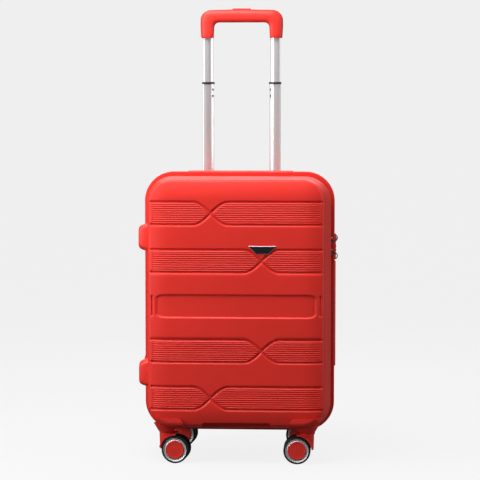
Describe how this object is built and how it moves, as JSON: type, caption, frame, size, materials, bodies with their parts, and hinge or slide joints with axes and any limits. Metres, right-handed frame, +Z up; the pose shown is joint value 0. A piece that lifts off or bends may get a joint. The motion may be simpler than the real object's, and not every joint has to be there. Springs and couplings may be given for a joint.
{
  "type": "hard shell suitcase",
  "caption": "Red hard shell cabin suitcase with ribbed front, extending trolley handle, zip, combination lock, carry handles and swivelling twin-wheel casters.",
  "frame": {"origin": "on the floor, under the middle of the case", "axes": "+Z up along the trolley tubes, -Y out of the case's front face, +X towards the lock and the side carry handle"},
  "size_m": [0.3752, 0.2286, 0.857],
  "materials": {
    "red_shell": "moulded polypropylene, fine satin grain",
    "red_trim": "moulded plastic, satin",
    "badge_black": "glossy black face",
    "zip_tape": "woven zip tape",
    "zip_teeth": "nylon coil",
    "gunmetal": "dark plated zinc",
    "dial_black": "satin",
    "inner_plastic": "moulded plastic, matt",
    "steel": "plain zinc plated",
    "tube_aluminium": "satin anodised",
    "collar_black": "satin",
    "lining_fabric": "thin woven polyester",
    "strap_webbing": "woven webbing",
    "pocket_mesh": "knitted mesh",
    "tyre_black": "matt rubber",
    "rim_silver": "silver painted plastic"
  },
  "bodies": {
    "case_back": {"back_shell": "red_shell", "back_zip_tape": "zip_tape", "back_zip_teeth": "zip_teeth", "trolley_bezel": "red_trim", "trolley_sleeves": "steel", "trolley_foot_bracket": "inner_plastic", "handle_mounts": "inner_plastic", "lock_housing": "red_trim", "back_side_feet": "red_trim", "rear_caster_sockets": "red_trim", "back_lining": "lining_fabric", "cross_straps": "strap_webbing", "strap_buckle": "inner_plastic"},
    "gusset": {"hinge_strip": "zip_tape"},
    "lid": {"front_shell": "red_shell", "front_zip_tape": "zip_tape", "front_zip_teeth": "zip_teeth", "badge": "badge_black", "front_side_feet": "red_trim", "front_caster_sockets": "red_trim", "front_lining": "lining_fabric", "mesh_pocket": "pocket_mesh"},
    "zip_slider_upper": {"slider_upper": "gunmetal"},
    "zip_pull_upper": {"pull_upper": "gunmetal"},
    "zip_slider_lower": {"slider_lower": "gunmetal"},
    "zip_pull_lower": {"pull_lower": "gunmetal"},
    "dial_1": {"lock_dial_1": "dial_black"},
    "dial_2": {"lock_dial_2": "dial_black"},
    "dial_3": {"lock_dial_3": "dial_black"},
    "release_button": {"lock_button": "red_trim"},
    "side_carry_handle": {"side_handle": "red_trim"},
    "top_carry_handle": {"top_handle": "red_trim"},
    "trolley_lower": {"lower_tubes": "tube_aluminium", "lower_collars": "collar_black"},
    "trolley_upper": {"upper_tubes": "tube_aluminium", "grip_cover_top": "red_trim", "grip_cover_bottom": "red_trim", "lock_pins": "inner_plastic"},
    "trolley_release": {"grip_button": "red_trim", "push_rods": "steel"},
    "front_left_caster": {"front_left_fork": "red_trim", "front_left_pins": "steel"},
    "front_left_wheels": {"front_left_tyres": "tyre_black", "front_left_rims": "rim_silver", "front_left_caps": "red_trim"},
    "front_right_caster": {"front_right_fork": "red_trim", "front_right_pins": "steel"},
    "front_right_wheels": {"front_right_tyres": "tyre_black", "front_right_rims": "rim_silver", "front_right_caps": "red_trim"},
    "rear_left_caster": {"rear_left_fork": "red_trim", "rear_left_pins": "steel"},
    "rear_left_wheels": {"rear_left_tyres": "tyre_black", "rear_left_rims": "rim_silver", "rear_left_caps": "red_trim"},
    "rear_right_caster": {"rear_right_fork": "red_trim", "rear_right_pins": "steel"},
    "rear_right_wheels": {"rear_right_tyres": "tyre_black", "rear_right_rims": "rim_silver", "rear_right_caps": "red_trim"}
  },
  "joints": [
    {"name": "gusset_fold", "type": "hinge", "parent": "case_back", "child": "gusset", "pos_m": [-0.176, 0.0125, 0.294], "axis": [0, 0, -1], "range_deg": [0, 90]},
    {"name": "lid_fold", "type": "hinge", "parent": "gusset", "child": "lid", "pos_m": [-0.176, -0.0145, 0.294], "axis": [0, 0, -1], "range_deg": [0, 90]},
    {"name": "zip_upper_slide", "type": "slide", "parent": "case_back", "child": "zip_slider_upper", "axis": [0, 0, 1], "range_m": [0, 0.06]},
    {"name": "zip_lower_slide", "type": "slide", "parent": "case_back", "child": "zip_slider_lower", "axis": [0, 0, -1], "range_m": [0, 0.26]},
    {"name": "pull_upper_swing", "type": "hinge", "parent": "zip_slider_upper", "child": "zip_pull_upper", "pos_m": [0.1806, 0, 0.412], "axis": [0, 1, 0], "range_deg": [0, 100]},
    {"name": "pull_lower_swing", "type": "hinge", "parent": "zip_slider_lower", "child": "zip_pull_lower", "pos_m": [0.1806, 0, 0.389], "axis": [0, -1, 0], "range_deg": [0, 100]},
    {"name": "release_press", "type": "slide", "parent": "case_back", "child": "release_button", "axis": [-1, 0, 0], "range_m": [0, 0.002], "stiffness_N_per_m": 400},
    {"name": "side_handle_pull", "type": "slide", "parent": "case_back", "child": "side_carry_handle", "axis": [1, 0, 0], "range_m": [0, 0.015]},
    {"name": "top_handle_pull", "type": "slide", "parent": "case_back", "child": "top_carry_handle", "axis": [0, 0, 1], "range_m": [0, 0.015]},
    {"name": "trolley_lower_slide", "type": "slide", "parent": "case_back", "child": "trolley_lower", "axis": [0, 0, 1], "range_m": [-0.2, 0.07]},
    {"name": "trolley_upper_slide", "type": "slide", "parent": "trolley_lower", "child": "trolley_upper", "axis": [0, 0, 1], "range_m": [-0.083, 0.1]},
    {"name": "trolley_button_press", "type": "slide", "parent": "trolley_upper", "child": "trolley_release", "axis": [0, 0, -1], "range_m": [0, 0.003], "stiffness_N_per_m": 1500, "springref_m": -0.002},
    {"name": "dial_1_turn", "type": "hinge", "parent": "case_back", "child": "dial_1", "pos_m": [0.1786, 0.023, 0.386], "axis": [0, 0, 1], "continuous": true},
    {"name": "dial_2_turn", "type": "hinge", "parent": "case_back", "child": "dial_2", "pos_m": [0.1786, 0.023, 0.393], "axis": [0, 0, 1], "continuous": true},
    {"name": "dial_3_turn", "type": "hinge", "parent": "case_back", "child": "dial_3", "pos_m": [0.1786, 0.023, 0.4], "axis": [0, 0, 1], "continuous": true},
    {"name": "front_left_swivel", "type": "hinge", "parent": "lid", "child": "front_left_caster", "pos_m": [-0.132, -0.085, 0.05], "axis": [0, 0, 1], "continuous": true},
    {"name": "front_left_roll", "type": "hinge", "parent": "front_left_caster", "child": "front_left_wheels", "pos_m": [-0.11357, -0.08661, 0.0255], "axis": [0.0872, 0.9962, 0], "continuous": true},
    {"name": "front_right_swivel", "type": "hinge", "parent": "lid", "child": "front_right_caster", "pos_m": [0.132, -0.085, 0.05], "axis": [0, 0, 1], "continuous": true},
    {"name": "front_right_roll", "type": "hinge", "parent": "front_right_caster", "child": "front_right_wheels", "pos_m": [0.1135, -0.085, 0.0255], "axis": [0, -1, 0], "continuous": true},
    {"name": "rear_left_swivel", "type": "hinge", "parent": "case_back", "child": "rear_left_caster", "pos_m": [-0.132, 0.085, 0.05], "axis": [0, 0, 1], "continuous": true},
    {"name": "rear_left_roll", "type": "hinge", "parent": "rear_left_caster", "child": "rear_left_wheels", "pos_m": [-0.11357, 0.08339, 0.0255], "axis": [0.0872, 0.9962, 0], "continuous": true},
    {"name": "rear_right_swivel", "type": "hinge", "parent": "case_back", "child": "rear_right_caster", "pos_m": [0.132, 0.085, 0.05], "axis": [0, 0, 1], "continuous": true},
    {"name": "rear_right_roll", "type": "hinge", "parent": "rear_right_caster", "child": "rear_right_wheels", "pos_m": [0.1135, 0.085, 0.0255], "axis": [0, -1, 0], "continuous": true}
  ],
  "couplings": [
    {"joint": "gusset_fold", "follows": "lid_fold", "ratio": 1}
  ]
}
